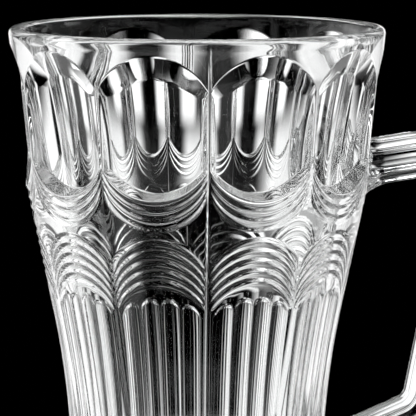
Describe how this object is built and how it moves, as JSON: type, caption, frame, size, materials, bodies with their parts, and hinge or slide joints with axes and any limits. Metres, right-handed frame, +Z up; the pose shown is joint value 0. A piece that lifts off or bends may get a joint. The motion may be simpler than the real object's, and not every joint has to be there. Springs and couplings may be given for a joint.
{
  "type": "tea mug",
  "caption": "Clear glass tea mug with a barrel top, a cut style relief of medallions, swags and fans, a fluted waist and a faceted loop handle.",
  "frame": {"origin": "centre of the flat underside, on the axis of the mug", "axes": "+Z up along the axis of the mug, +X out through the middle of the handle"},
  "size_m": [0.1074, 0.084, 0.12],
  "materials": {
    "body_glass": "clear, fire polished pressed glass",
    "handle_glass": "clear, fire polished pressed glass, slightly rippled"
  },
  "bodies": {
    "root": {"mug_body": "body_glass", "handle": "handle_glass"}
  },
  "joints": []
}
